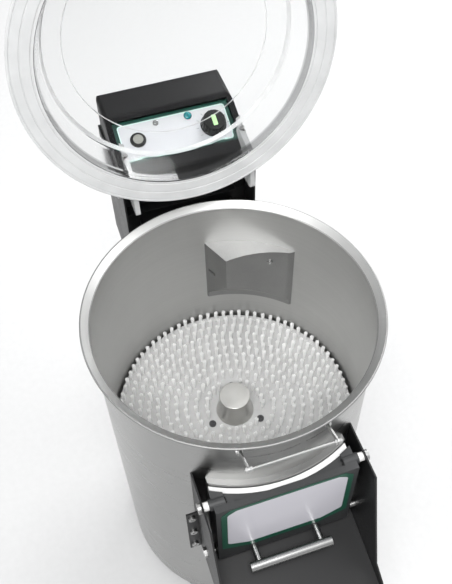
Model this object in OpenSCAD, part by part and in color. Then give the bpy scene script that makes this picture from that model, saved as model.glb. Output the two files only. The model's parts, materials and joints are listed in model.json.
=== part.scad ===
// Bench-top mussel cleaning machine: steel drum with a turning brush plate,
// clear hinged lid, control box on a rear housing and a front discharge chute.
// Millimetres. +Z up, front (discharge) towards -Y, origin on the drum axis at floor level.

/* [Drum] */
// Height of the drum rim above the floor
rim_h = 520; // [500:5:540]
// Outside diameter of the flared rim
rim_d = 350; // [350:1:352]
// Outside diameter of the drum wall
wall_d = 330; // [330:1:330]
// Thickness of the drum sheet
sheet = 1.2; // [1:0.1:1.5]
// Depth of the brush plate below the rim
brush_depth = 230; // [220:2:236]

/* [Brush] */
// Diameter of the brush plate
plate_d = 320; // [310:1:322]
// Length of the bristle tufts
tuft_h = 18.5; // [12:0.5:20]
// Width of one bristle ring
tuft_w = 4.6; // [3:0.2:5]

/* [Lid] */
// Angle the lid stands open in the drawn pose
lid_open = 100; // [0:5:100]
// Thickness of the clear lid
lid_t = 3; // [2.5:0.5:3]
// Outside radius of the lid flange
lid_r = 175; // [174:0.5:176]

/* [Discharge] */
// Swing of the discharge door in the drawn pose
door_open = 0; // [0:5:90]
// Half width of the discharge opening
mouth_w = 72; // [66:1:72]
// Half width between the chute cheeks
cheek_in = 94.6; // [94.6:0.2:96]

/* [Controls] */
// Turn of the timer knob in the drawn pose
knob_turn = 0; // [0:10:300]
// Number of grip flutes round the timer knob
knob_flutes = 18; // [12:1:24]

/* [Hidden] */
RZ = rim_h;
rw = wall_d/2; ri = rw - sheet;
PZ = RZ - brush_depth;          // top of the brush plate
FZ = PZ - 30;                   // top of the tank floor
HY = 176; HZ = RZ + 48.7;       // lid hinge axis
DY = -174.3; DZ = RZ - 97;      // discharge door axis
BY = -162.5; BZ = RZ - 12.6;    // bail pivot axis
MX = 98;                        // motor axis offset
tuft_rings = [153.4, 141, 128.7, 116.3, 104, 91.6, 79.2, 66.5, 52.5, 37.7];
// control panel plane: top edge point and slope
PY0 = 236; PZ0 = RZ + 98.2; PA = 22.6;   // slope above the horizontal
black = [0.09,0.09,0.095]; steel = [0.74,0.74,0.72]; nylon = [0.93,0.93,0.92];
alu = [0.66,0.66,0.65]; clear = [0.85,0.9,0.92,0.35]; zinc = [0.62,0.63,0.65];

module tube(ro, rin, h, fn=96) { difference() { cylinder(r=ro, h=h, $fn=fn); translate([0,0,-1]) cylinder(r=rin, h=h+2, $fn=fn); } }
// rounded slab standing in the XZ plane, thickness along +Y
module slab_y(w, h, t, r) {
  translate([-w/2+r, 0, 0]) cube([w-2*r, t, h]);
  translate([-w/2, 0, r]) cube([w, t, h-2*r]);
  for (x=[-w/2+r, w/2-r], z=[r, h-r]) translate([x, t, z]) rotate([90,0,0]) cylinder(r=r, h=t, $fn=48);
}
module hex(af, h) { cylinder(r=af/2/cos(30), h=h, $fn=6); }
// cap screw along +Z, head on top
module cap_screw(d, l, hd, hh, s) {
  translate([0,0,-l]) cylinder(r=d/2, h=l+0.01, $fn=32);
  difference() { cylinder(r=hd/2, h=hh, $fn=48); translate([0,0,hh*0.45]) hex(s, hh); }
}

// ---------- drum ----------
module drum_shell() color(steel) difference() {
  union() {
    rotate_extrude($fn=180) polygon([[ri,24],[rw,24],[rw,RZ-7.1],[rim_d/2-0.9,RZ-1.75],[rim_d/2-1.5,RZ-0.72],[ri,RZ-6.6]]);
    rotate_extrude($fn=180) translate([rim_d/2-1.35, RZ-1.3]) circle(r=1.35, $fn=32);
  }
  translate([0,-rw-5,FZ+32]) slab_y(2*mouth_w, 116, 30, 14);
  translate([-85,100,FZ-38]) rotate([-90,0,0]) cylinder(r=20.3, h=80, $fn=72);
  translate([45,140,RZ-96]) rotate([-90,0,0]) cylinder(r=6.6, h=30, $fn=48);
  translate([0,150,86]) rotate([-90,0,0]) cylinder(r=11, h=30, $fn=48);
  for (a=[-5:5]) rotate([0,0,a*7]) translate([-2, rw-8, 140]) cube([4, 16, 40]);
}
module tank_floor() color(steel) difference() {
  union() { translate([0,0,FZ-2]) cylinder(r=ri, h=2, $fn=180); translate([0,0,FZ-16]) tube(ri, ri-1.5, 14.5, 180); }
  translate([0,0,FZ-5]) cylinder(r=32.3, h=10, $fn=96);
  for (a=[0:5]) rotate([0,0,a*60+15]) translate([41,0,FZ-5]) cylinder(r=3.2, h=10, $fn=32);
  translate([-85,90,FZ-5]) cylinder(r=17, h=10, $fn=72);
  for (x=[45,151], y=[-34,34]) translate([x,y,FZ-5]) cylinder(r=3.2, h=10, $fn=32);
}
module base_plate() color(steel) difference() {
  union() { translate([0,0,24]) cylinder(r=ri, h=2, $fn=180); translate([0,0,26]) tube(ri, ri-1.5, 14, 180); }
  for (a=[45:90:315]) rotate([0,0,a]) translate([140,0,20]) cylinder(r=4.3, h=12, $fn=48);
  for (i=[-5:5]) translate([i*14-3,-40,20]) cube([6,80,12]);
  cylinder(r=3, h=60, $fn=32);
}
module rubber_feet() color([0.07,0.07,0.07]) for (a=[45:90:315]) rotate([0,0,a]) translate([140,0,0])
  difference() {
    rotate_extrude($fn=72) polygon([[0,0],[18,0],[20,2],[18.5,23.9],[0,23.9]]);
    translate([0,0,-1]) cylinder(r=8.5, h=13, $fn=48);
    cylinder(r=4.3, h=40, $fn=48);
  }
module foot_bolts() color(zinc) for (a=[45:90:315]) rotate([0,0,a]) translate([140,0,0]) {
    translate([0,0,6]) difference() { hex(13, 6); translate([0,0,-1]) cylinder(r=3.4, h=3, $fn=48); }
    translate([0,0,11.99]) cylinder(r=4, h=28, $fn=48);
    translate([0,0,26]) difference() { cylinder(r=8, h=1.6, $fn=48); translate([0,0,-1]) cylinder(r=4, h=4, $fn=48); }
    translate([0,0,27.6]) difference() { hex(13, 6.5); translate([0,0,-1]) cylinder(r=4, h=9, $fn=48); }
  }

// ---------- bearing and drive ----------
module bearing_housing() color([0.45,0.46,0.47]) difference() {
  rotate_extrude($fn=120) polygon([
    [26,FZ+8],[32,FZ+8],[32,FZ-2],[48,FZ-2],[48,FZ-12],[34,FZ-12],[33,FZ-30],[33,FZ-112],[23.5,FZ-112],
    [23.5,FZ-98],[20,FZ-98],[20,FZ-22],[26,FZ-22]]);
  for (a=[0:5]) rotate([0,0,a*60+15]) translate([41,0,FZ-14]) cylinder(r=3.05, h=20, $fn=32);
}
module bearing(ro, rin, w) {
  t = (ro-rin)*0.27;
  difference() { cylinder(r=ro, h=w, $fn=96); translate([0,0,-1]) cylinder(r=ro-t, h=w+2, $fn=96); }
  difference() { cylinder(r=rin+t, h=w, $fn=96); translate([0,0,-1]) cylinder(r=rin, h=w+2, $fn=96); }
  for (z=[0.6, w-1.6]) translate([0,0,z]) difference() { cylinder(r=ro-t, h=1, $fn=96); translate([0,0,-1]) cylinder(r=rin+t, h=3, $fn=96); }
}
module shaft_bearings() color([0.75,0.76,0.78]) {
  translate([0,0,FZ-22]) bearing(26, 12.5, 15);
  translate([0,0,FZ-112]) bearing(23.5, 10, 14);
}
module shaft_seal() color([0.35,0.12,0.09]) translate([0,0,FZ-6]) tube(26, 12.5, 14);
module drive_shaft() color([0.7,0.71,0.72]) {
  rotate_extrude($fn=96) polygon([
    [0,72],[7,72],[8,73],[8,84],[9.95,84],[9.95,FZ-96],[12.45,FZ-96],[12.45,FZ+12],[9.95,FZ+12],[9.95,PZ+9],[9,PZ+10],[0,PZ+10]]);
  translate([0,0,75]) difference() { hex(24, 9); translate([0,0,-1]) cylinder(r=8, h=11, $fn=96); }
}
module driven_pulley() color([0.5,0.5,0.51]) difference() {
  rotate_extrude($fn=120) polygon([[9.95,84],[22,84],[22,90],[50,90],[50,86],[64,86],[60.8,89.4],[56,92],[56,98],[60.8,100.6],[64,104],[50,104],[50,100],[22,100],[22,106],[9.95,106]]);
  for (a=[0:4]) rotate([0,0,a*72]) translate([36,0,80]) cylinder(r=8, h=30, $fn=48);
}
module motor_pulley() color([0.5,0.5,0.51]) translate([MX,0,0]) {
  rotate_extrude($fn=96) polygon([[0,84],[11,84],[11,86],[20,86],[16.8,89.4],[12,92],[12,98],[16.8,100.6],[20,104],[11,104],[11,110],[6.95,110],[6.95,220],[0,220]]);
}
// flat-sided V-belt loop round the two pulleys
BR1 = 62; BR2 = 18; bphi = asin((BR1-BR2)/MX);
module belt_outline(r1, r2, z0, h) {
  translate([0,0,z0]) cylinder(r=r1, h=h, $fn=120);
  translate([MX,0,z0]) cylinder(r=r2, h=h, $fn=72);
  translate([0,0,z0]) linear_extrude(h) polygon([
    [r1*sin(bphi), r1*cos(bphi)], [MX+r2*sin(bphi), r2*cos(bphi)],
    [MX+r2*sin(bphi), -r2*cos(bphi)], [r1*sin(bphi), -r1*cos(bphi)]]);
}
module drive_belt() color([0.12,0.12,0.12]) difference() {
  belt_outline(BR1, BR2, 92.4, 5.2);
  belt_outline(BR1-5.4, BR2-5.4, 90, 10);
}
module motor_body() color([0.33,0.34,0.36]) translate([MX,0,0]) difference() {
  union() {
    rotate_extrude($fn=96) polygon([[7.2,124],[58,124],[58,132],[53,134],[53,212],[55,214],[52,230],[40,236],[0,236],[0,226],[7.2,226]]);
    for (a=[0:15:345]) rotate([0,0,a]) translate([50,-1.2,130]) cube([7,2.4,83]);
    translate([-16,45,142]) cube([32,15,50]);
  }
  for (a=[15:30:345]) rotate([0,0,a]) translate([16,-2,232]) cube([18,4,10]);
  for (a=[45:90:315]) rotate([0,0,a]) translate([49.5,0,120]) cylinder(r=2.5, h=9, $fn=32);
}
module motor_plate() color(steel) difference() {
  translate([-40,-62,120]) cube([200,124,4]);
  translate([0,0,110]) difference() { cylinder(r=300, h=20, $fn=96); translate([0,0,-1]) cylinder(r=ri-0.8, h=22, $fn=180); }
  translate([0,0,110]) cylinder(r=16, h=20, $fn=72);
  translate([MX,0,110]) cylinder(r=24, h=20, $fn=72);
  for (a=[45:90:315]) translate([MX,0,0]) rotate([0,0,a]) translate([49.5,0,110]) cylinder(r=3.3, h=20, $fn=32);
  for (x=[-30,30], y=[-54,54]) translate([x,y,110]) cylinder(r=3.2, h=20, $fn=32);
}
// pillars carrying the motor plate, with the bolts of the motor and of the bearing housing
module drive_fixings() color(zinc) {
  for (x=[-30,30], y=[-54,54]) translate([x,y,0]) {
    translate([0,0,124]) cylinder(r=7, h=FZ-2-124, $fn=48);
    translate([0,0,112]) cylinder(r=3, h=12.01, $fn=32);
    translate([0,0,114]) difference() { hex(10, 6); translate([0,0,-1]) cylinder(r=3, h=8, $fn=32); }
  }
  for (a=[0:5]) rotate([0,0,a*60+15]) translate([41,0,FZ]) cap_screw(6, 12, 10, 4, 4);
  for (a=[45:90:315]) translate([MX,0,0]) rotate([0,0,a]) translate([49.5,0,120]) rotate([180,0,0]) cap_screw(5, 8.5, 8.5, 5, 4);
}
module run_capacitor() color([0.8,0.8,0.78]) translate([-110,-62,0]) {
  translate([0,0,26]) cylinder(r=17.5, h=76, $fn=72);
  translate([0,0,102]) cylinder(r=15, h=3, $fn=72);
  for (x=[-6,6]) translate([x-3,-0.4,105]) cube([6,0.8,9]);
}

// ---------- brush ----------
module brush_carrier() color(alu) difference() {
  union() { translate([0,0,FZ+12]) cylinder(r=18, h=4, $fn=72); translate([0,0,FZ+14]) cylinder(r=75, h=6, $fn=120); }
  translate([0,0,FZ]) cylinder(r=9.95, h=40, $fn=96);
  for (a=[-41.6,78.4,198.4]) rotate([0,0,a]) translate([37.5,0,FZ]) cylinder(r=3, h=40, $fn=32);
  for (a=[18:60:318]) rotate([0,0,a]) translate([57,0,FZ]) cylinder(r=9, h=40, $fn=48);
}
module brush_plate() color(nylon) difference() {
  rotate_extrude($fn=180) polygon([[9.95,FZ+20],[plate_d/2-1,FZ+20],[plate_d/2,FZ+21],[plate_d/2,PZ-1.5],[plate_d/2-1.5,PZ],[9.95,PZ]]);
  for (a=[-41.6,78.4,198.4]) rotate([0,0,a]) translate([37.5,0,FZ]) cylinder(r=3, h=60, $fn=32);
}
module brush_tufts() color([0.96,0.96,0.95]) {
  for (r=[for (i=[0:8]) tuft_rings[i]]) translate([0,0,PZ]) tube(r+tuft_w/2, r-tuft_w/2, tuft_h, 120);
  // innermost ring, interrupted at the three plate screws
  difference() {
    translate([0,0,PZ]) tube(tuft_rings[9]+tuft_w/2, tuft_rings[9]-tuft_w/2, tuft_h, 120);
    for (a=[-41.6,78.4,198.4]) rotate([0,0,a]) translate([37.5,0,PZ-1]) cylinder(r=8.5, h=40, $fn=48);
  }
}
hub_h = 38; hub_rb = 25.3; hub_rt = 20.7;
module hub_knob() color(alu) difference() {
  rotate_extrude($fn=120) polygon(concat([[0,PZ],[hub_rb-0.8,PZ],[hub_rb,PZ+0.8]],
    [for (i=[1:14]) let(t=i/14) [hub_rt - 0.6 + (hub_rb-hub_rt+0.6)*pow(1-t,2.2), PZ+0.8+(hub_h-4)*t]],
    [[hub_rt, PZ+hub_h-2.2],[hub_rt,PZ+hub_h-0.9],[hub_rt-0.9,PZ+hub_h],[0,PZ+hub_h]]));
  translate([0,0,PZ-1]) cylinder(r=9.95, h=11, $fn=96);
}
module plate_screws() color([0.16,0.16,0.17]) for (a=[-41.6,78.4,198.4]) rotate([0,0,a]) translate([37.5,0,PZ]) cap_screw(6, 16, 9.6, 2.6, 4);

// ---------- wall deflector and water ----------
DT = RZ-67; DB = RZ-181;
module wall_deflector() color(alu) difference() {
  intersection() {
    translate([0,0,DB]) linear_extrude(DT-DB) polygon([[11.2,170],[32.2,121.6],[34,119.6],[119.5,106],[126,106],[126,170]]);
    translate([0,0,DB-1]) cylinder(r=ri-0.02, h=DT-DB+2, $fn=180);
  }
  // hollow front curve
  translate([52.5,-6,DB-1]) cylinder(r=131.2, h=200, $fn=240);
  translate([100,60,DB-1]) cube([80,49.5,200]);
  // steep underside running back to a thin flange on the wall
  rotate_extrude($fn=180) polygon([[100,RZ-200],[161.3,RZ-200],[161.3,RZ-171.5],[100,RZ-84.4]]);
  // spray slot in the left end, its channel and the pipe bore
  translate([17.7,150.5,RZ-119.7]) rotate([0,0,-63.4]) translate([-7,-3,0]) cube([14,12,6]);
  translate([27,146,RZ-119]) cube([20,10,27]);
  translate([45,150,RZ-96]) rotate([-90,0,0]) cylinder(r=6, h=30, $fn=48);
  translate([91.5,119.2,RZ-87]) rotate([0,0,-17.3]) rotate([-90,0,0]) translate([0,0,-10]) cylinder(r=2.5, h=80, $fn=32);
}
module pipe_run(r) {
  translate([45,150,RZ-96]) rotate([-90,0,0]) cylinder(r=r, h=100, $fn=48);
  translate([45,250,RZ-96]) sphere(r=r, $fn=48);
  translate([45,250,RZ-128]) cylinder(r=r, h=32, $fn=48);
}
module water_inlet_pipe() color([0.72,0.6,0.32]) difference() {
  union() {
    pipe_run(6);
    translate([45,184,RZ-96]) rotate([-90,0,0]) hex(19, 6);
    translate([45,250,RZ-146]) cylinder(r=13.2, h=18, $fn=72);
    translate([45,250,RZ-128]) hex(32, 3);
    translate([45,250,RZ-126]) cylinder(r=10, h=8, $fn=72);
    translate([45,250,RZ-123]) hex(27, 5);
  }
  translate([0,-1,0]) pipe_run(4.5);
  translate([45,249,RZ-150]) cylinder(r=4.5, h=30, $fn=48);
}
module drain_pipe() color(steel) difference() {
  union() {
    translate([-85,90,FZ-38]) cylinder(r=20, h=36, $fn=96);
    translate([-85,90,FZ-38]) sphere(r=20, $fn=96);
    translate([-85,90,FZ-38]) rotate([-90,0,0]) cylinder(r=20, h=120, $fn=96);
    translate([-85,160,FZ-38]) rotate([-90,0,0]) cylinder(r=24, h=4, $fn=96);
  }
  translate([-85,90,FZ-38]) cylinder(r=17, h=40, $fn=96);
  translate([-85,90,FZ-38]) sphere(r=17, $fn=96);
  translate([-85,90,FZ-38]) rotate([-90,0,0]) cylinder(r=17, h=130, $fn=96);
}

// ---------- discharge ----------
module arc_band(r1, r2, hw, z0, z1) intersection() {
  translate([0,0,z0]) tube(r2, r1, z1-z0, 180);
  translate([-hw,-200,z0-1]) cube([2*hw, 160, z1-z0+2]);
}
module opening_frame() color(steel) difference() {
  arc_band(rw, 172, 82, RZ-236, RZ-92);
  translate([0,-rw-20,FZ+32]) slab_y(2*mouth_w, 116, 40, 14);
}
module chute_profile() polygon([[-134,RZ-90],[-205.5,RZ-90],[-226.5,RZ-158],[-252,RZ-238],[-290,RZ-260],[-290,RZ-270],[-134,RZ-270]]);
module cheek_plate(x0, t) translate([x0,0,0]) rotate([90,0,90]) linear_extrude(t) chute_profile();
module chute_cheeks() color(black) difference() {
  union() {
    cheek_plate(cheek_in, 2); cheek_plate(-cheek_in-2, 2);
    for (s=[-1,1]) translate([s>0?cheek_in+2:-cheek_in-16, -150, RZ-270]) cube([14,2,105]);
  }
  translate([0,0,RZ-300]) cylinder(r=rw+0.1, h=320, $fn=180);
  translate([-120,DY,DZ]) rotate([0,90,0]) cylinder(r=4, h=240, $fn=48);
  translate([-120,-181,RZ-214]) rotate([0,90,0]) cylinder(r=4, h=240, $fn=48);
  for (s=[-1,1], z=[RZ-258, RZ-218, RZ-178]) translate([s*104, -200, z]) rotate([-90,0,0]) cylinder(r=2.6, h=80, $fn=32);
}
module chute_floor() color(black) difference() {
  translate([-cheek_in,0,0]) rotate([90,0,90]) linear_extrude(2*cheek_in) polygon([[-164,RZ-238],[-290,RZ-266],[-290,RZ-268.2],[-164,RZ-240.2]]);
  translate([0,0,RZ-300]) cylinder(r=rw+0.1, h=320, $fn=180);
}
// round-head screws of the deflector, chute flanges and rear cover
module pan_screw(d, l, hd, hh) {
  translate([0,0,-l]) cylinder(r=d/2, h=l+0.01, $fn=32);
  difference() { cylinder(r=hd/2, h=hh, $fn=48); translate([0,0,hh*0.5]) hex(hd*0.4, hh); }
}
module body_screws() color(zinc) {
  translate([91.5,119.2,RZ-87]) rotate([0,0,-17.3]) rotate([90,0,0]) pan_screw(5, 12, 7.6, 2.2);
  for (s=[-1,1], z=[RZ-258, RZ-218, RZ-178]) translate([s*104, -150, z]) rotate([90,0,0]) pan_screw(5, 6, 9, 2.6);
  for (x=[-76,76], z=[RZ-110,RZ-32,RZ+46]) translate([x,290,z]) rotate([-90,0,0]) pan_screw(3.4, 9, 7, 2);
}
module at_door() translate([0,DY,DZ]) rotate([-door_open,0,0]) translate([0,-DY,-DZ]) children();
module door_body() color([0.25,0.25,0.26]) at_door() difference() {
  union() {
    difference() {
      translate([-84,-188,RZ-234]) cube([168,40,142]);
      translate([0,0,RZ-300]) cylinder(r=180, h=300, $fn=180);
    }
    for (s=[-1,1]) translate([s>0?70:-88, DY, DZ]) rotate([0,90,0]) cylinder(r=6.6, h=18, $fn=72);
  }
  translate([0,0,RZ-300]) cylinder(r=175.6, h=300, $fn=180);
  translate([-92,DY,DZ]) rotate([0,90,0]) cylinder(r=4, h=24, $fn=48);
  translate([68,DY,DZ]) rotate([0,90,0]) cylinder(r=4, h=24, $fn=48);
  // relief behind the top edge, which turns in over the frame as the door opens
  translate([-69.5,-180.3,RZ-95.5]) cube([139,40,10]);
  // side pockets that thin the casting
  for (s=[-1,1]) translate([s*64-14,-183,RZ-214]) cube([28,40,100]);
  for (s=[-1,1]) translate([s*84,-181,RZ-214]) sphere(r=3, $fn=48);
  for (x=[-40,40]) translate([x,-195,RZ-222]) rotate([-90,0,0]) cylinder(r=2.5, h=14, $fn=32);
}
module door_seal() color(nylon) at_door() difference() {
  arc_band(172.5, 180, 82, RZ-232, RZ-97.6);
  translate([-66,-190,RZ-216]) cube([132,50,102]);
  for (s=[-1,1]) translate([s>0?68:-90, DY, DZ]) rotate([0,90,0]) cylinder(r=7.2, h=22, $fn=72);
}
module door_label() color([0.9,0.91,0.93]) at_door() translate([0,-188,0]) rotate([90,0,0]) linear_extrude(0.8)
  polygon([[-67.4,RZ-95.5],[67.4,RZ-95.5],[78.4,RZ-104.5],[79,RZ-201],[44,RZ-214.5],[-44,RZ-214.5],[-79,RZ-201],[-78.4,RZ-104.5]]);
module door_pull() color(zinc) at_door() {
  for (x=[-40,40]) translate([x,-213,RZ-222]) rotate([-90,0,0]) { cylinder(r=4, h=25, $fn=48); cylinder(r=2.5, h=32, $fn=32); }
  translate([-52,-213,RZ-222]) rotate([0,90,0]) cylinder(r=6, h=104, $fn=48);
}
module door_bushes() color(nylon) for (s=[-1,1]) translate([s>0?88.2:-cheek_in, DY, DZ]) rotate([0,90,0]) tube(5.2, 4.05, cheek_in-88.2, 48);
module door_pivots() color(zinc) for (s=[-1,1]) translate([0,DY,DZ]) rotate([0,90*s,0]) {
  translate([0,0,72]) cylinder(r=3.95, h=cheek_in+2-72, $fn=48);
  translate([0,0,cheek_in+2]) difference() { cylinder(r=6.5, h=4, $fn=48); translate([0,0,2]) hex(5,4); }
}
module catch_plungers() color(zinc) for (s=[-1,1]) translate([0,-181,RZ-214]) rotate([0,90*s,0]) {
  translate([0,0,88]) cylinder(r=4, h=12, $fn=48);
  translate([0,0,86.9]) sphere(r=2.3, $fn=48);
  translate([0,0,cheek_in+2]) difference() { hex(12,4); translate([0,0,-1]) cylinder(r=4, h=8, $fn=48); }
}

// ---------- bail ----------
bail_a = 22.9; bail_l = 31;      // drawn angle above the horizontal, pivot to rod
module bail_lugs() color(steel) for (s=[-1,1]) {
  difference() {
    translate([s>0?49.4:-51.4, 0, 0]) rotate([90,0,90]) linear_extrude(2) polygon([[-140,RZ-20],[-164,RZ-18],[-166.6,RZ-16],[-166.6,RZ-10.2],[-164.6,RZ-8.4],[-140,RZ-8.4]]);
    translate([0,0,RZ-40]) cylinder(r=rw, h=60, $fn=180);
  }
  translate([0,BY,BZ]) rotate([0,90*s,0]) {
    translate([0,0,46]) cylinder(r=1.96, h=4, $fn=48);
    translate([0,0,51]) cylinder(r=3.2, h=1.6, $fn=48);
    translate([0,0,45]) cylinder(r=3.2, h=1.2, $fn=48);
  }
}
module at_bail() translate([0,BY,BZ]) rotate([-bail_a,0,0]) children();
module bail_arms() color(zinc) at_bail() for (s=[-1,1]) difference() {
  translate([s>0?46.8:-48.8,0,0]) union() {
    translate([0,-bail_l,-2.6]) cube([2,bail_l,5.2]);
    rotate([0,90,0]) cylinder(r=3.4, h=2, $fn=48);
    translate([0,-bail_l,0]) rotate([0,90,0]) cylinder(r=3.2, h=2, $fn=48);
  }
  translate([-60,0,0]) rotate([0,90,0]) cylinder(r=2.02, h=120, $fn=48);
  translate([-60,-bail_l,0]) rotate([0,90,0]) cylinder(r=1.6, h=120, $fn=48);
}
module bail_rod() color([0.85,0.85,0.86]) at_bail() translate([-52.5,-bail_l,0]) rotate([0,90,0]) cylinder(r=1.6, h=105, $fn=48);
module bail_nuts() color(zinc) at_bail() for (x=[-51.4,-46.4,44,49]) translate([x,-bail_l,0]) rotate([0,90,0]) difference() { hex(5.5, 2.4); translate([0,0,-1]) cylinder(r=1.6, h=5, $fn=48); }

// ---------- lid ----------
module at_lid() translate([0,HY,HZ]) rotate([-lid_open,0,0]) translate([0,-HY,-HZ]) children();
L0 = RZ+1;
module lid_dome() color(clear) at_lid() difference() {
  rotate_extrude($fn=180) polygon([
    [lid_r,L0],[lid_r,L0+lid_t],[152.6,L0+lid_t],[150.6,L0+lid_t+1.2],[149.4,L0+6],[141,L0+38],[138.6,L0+43.4],[134.6,L0+47],
    [117.4,L0+53],[113,L0+54],[0,L0+54],[0,L0+51],[113,L0+51],[116.4,L0+50.2],[133,L0+44.4],[135.8,L0+41.8],[137.8,L0+38],[146.6,L0+4],[147.6,L0]]);
  for (s=[-1,1]) screw_line(s, 130) cylinder(r=1.5, h=16, $fn=32);
  for (x=[-20,20]) translate([x,-162,L0-1]) cylinder(r=2, h=6, $fn=32);
}
module lid_outside(g) rotate_extrude($fn=180) polygon([
  [0,L0-4],[lid_r+g,L0-4],[lid_r+g,L0+lid_t+g],[152.6+g,L0+lid_t+g],[150.6+g,L0+lid_t+1.2],[149.4+g,L0+6],[141+g,L0+38],[138.6+g,L0+43.4],[134.6+g,L0+47+g],[117.4+g,L0+53+g],[113,L0+54+g],[0,L0+54+g]]);
module arm_outline() polygon([[120,RZ+4.2],[158,RZ+4.2],[181,RZ+6],[185.2,RZ+8],[187,RZ+12],[186,HZ],[166,HZ],[168,RZ+36],[166,RZ+32.5],[148,RZ+31],[143.5,RZ+37],[134,RZ+49],[110,RZ+49]]);
module screw_line(s, r0) rotate([0,0,s>0?59.2:120.8]) translate([r0,0,RZ+34]) rotate([0,90,0]) children();
module lid_arms() color(clear) at_lid() difference() {
  for (s=[-1,1]) {
    translate([s>0?68.2:-73.8,0,0]) rotate([90,0,90]) linear_extrude(5.6) arm_outline();
    translate([s>0?68.2:-73.8,HY,HZ]) rotate([0,90,0]) cylinder(r=10, h=5.6, $fn=72);
  }
  lid_outside(0.1);
  translate([-90,HY,HZ]) rotate([0,90,0]) cylinder(r=4.05, h=180, $fn=48);
  for (s=[-1,1]) screw_line(s, 130) cylinder(r=1.6, h=16, $fn=32);
}
module lid_screws() color(zinc) at_lid() {
  for (s=[-1,1]) screw_line(s, 136.6) { cylinder(r=3.4, h=1.6, $fn=48); cylinder(r=1.5, h=8.6, $fn=32); }
  for (x=[-20,20]) translate([x,-162,L0+lid_t+4]) { cylinder(r=4, h=2, $fn=48); translate([0,0,-7]) cylinder(r=2, h=7.01, $fn=32); translate([0,0,-9]) cylinder(r=4, h=2, $fn=48); }
}
// ledge under which the bail rod holds the closed lid down
module lid_front_catch() color(black) at_lid() difference() {
  translate([-30,0,0]) rotate([90,0,90]) linear_extrude(60) polygon([
    [-152,RZ+4.1],[-152,RZ+8],[-176,RZ+8],[-178.5,RZ+14.5],[-181.2,RZ+14.5],[-181.2,RZ+8.2],[-182.8,RZ+8.2],[-184.5,RZ+4.5],[-184.5,RZ+0.8],[-175.4,RZ+0.8],[-175.4,RZ+4.1]]);
  for (x=[-20,20]) translate([x,-162,RZ]) cylinder(r=2, h=12, $fn=32);
}
module hinge_pins() color(zinc) for (s=[-1,1]) translate([0,HY,HZ]) rotate([0,90*s,0]) {
  translate([0,0,66]) cylinder(r=4, h=17, $fn=48);
  translate([0,0,63]) cylinder(r=3, h=3.01, $fn=48);
  translate([0,0,83]) difference() { cylinder(r=7, h=4, $fn=48); translate([0,0,2]) hex(5,4); }
  translate([0,0,63.6]) difference() { hex(10,2.4); translate([0,0,-1]) cylinder(r=3, h=5, $fn=48); }
}
module hinge_bushes() color(nylon) for (s=[-1,1]) translate([s>0?74.2:-81,HY,HZ]) rotate([0,90,0]) tube(7.5, 4, 6.8, 48);
module lid_stop_pads() color([0.05,0.05,0.05]) for (x=[-71,71]) translate([x-4,163.9,RZ+64]) cube([8,3.1,12]);
module lid_sensor() color([0.12,0.12,0.13]) {
  translate([72.6,188.4,RZ+2.5]) rotate([-90,0,0]) difference() {
    cylinder(r=8, h=3.6, $fn=72);
    for (a=[50,180,310]) rotate([0,0,a]) translate([4.6,0,-1]) cylinder(r=1.1, h=2.2, $fn=24);
  }
  translate([72.6,192,RZ+2.5]) rotate([-90,0,0]) cylinder(r=5, h=30, $fn=48);
  translate([72.6,194,RZ+2.5]) rotate([-90,0,0]) difference() { hex(13,4); translate([0,0,-1]) cylinder(r=5, h=8, $fn=48); }
}

// ---------- rear housing ----------
module rear_housing() color(black) difference() {
  union() {
    for (x=[-83,81]) translate([x,0,0]) rotate([90,0,90]) linear_extrude(2) polygon([[157,RZ-118],[157,RZ+58],[160,RZ+61],[290,RZ+61],[290,RZ-125],[164,RZ-125]]);
    translate([-81,192,RZ-125]) cube([162,2,186]);
    translate([-81,194,RZ+59]) cube([162,96,2]);
    translate([-81,194,RZ-125]) cube([162,96,2]);
    translate([-81,178,RZ+2]) cube([144,14,2]);
    for (x=[-81,73]) translate([x,280,RZ-123]) cube([8,8,182]);
    for (x=[-62,60]) translate([x,148,RZ-112]) cube([2,44.5,90]);
  }
  translate([0,0,RZ-140]) cylinder(r=rw+0.02, h=135, $fn=180);
  translate([-90,HY,HZ]) rotate([0,90,0]) cylinder(r=4, h=180, $fn=48);
  translate([45,180,RZ-96]) rotate([-90,0,0]) cylinder(r=7, h=40, $fn=48);
  translate([72.6,180,RZ+2.5]) rotate([-90,0,0]) cylinder(r=5, h=40, $fn=48);
  translate([45,250,RZ-130]) cylinder(r=10, h=20, $fn=72);
  translate([-45,250,RZ-130]) cylinder(r=8, h=20, $fn=48);
  translate([0,210,RZ-140]) cylinder(r=12, h=30, $fn=48);
  translate([-40,212,RZ+50]) cube([80,50,20]);
  for (x=[-76,76], z=[RZ-110,RZ-32,RZ+46]) translate([x,270,z]) rotate([-90,0,0]) cylinder(r=1.7, h=40, $fn=32);
}
module housing_rear_cover() color(black) difference() {
  translate([-81,288,RZ-123]) cube([162,2,182]);
  for (i=[0:6]) translate([-30,280,RZ-60+i*10]) cube([60,20,4]);
  for (x=[-76,76], z=[RZ-110,RZ-32,RZ+46]) translate([x,280,z]) rotate([-90,0,0]) cylinder(r=1.7, h=40, $fn=32);
}
module cable_duct() color(black) difference() {
  union() {
    translate([-28,160,60]) cube([56,50,RZ-125-60]);
    translate([-28,194,RZ-140]) cube([56,30,15]);
  }
  translate([0,0,40]) cylinder(r=rw+0.02, h=RZ-125, $fn=180);
  translate([-26,140,62]) cube([52,68,RZ-125-64]);
  translate([0,210,RZ-150]) cylinder(r=12, h=60, $fn=48);
}
module cable_gland() color([0.1,0.1,0.1]) translate([-45,250,RZ-125]) difference() {
  union() {
    translate([0,0,-12]) cylinder(r=8, h=22, $fn=48);
    translate([0,0,-5]) hex(22, 5);
    translate([0,0,-14]) cylinder(r=9.5, h=7, $fn=48);
    translate([0,0,2]) hex(20, 4);
  }
  translate([0,0,-20]) cylinder(r=3.6, h=40, $fn=48);
}

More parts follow.
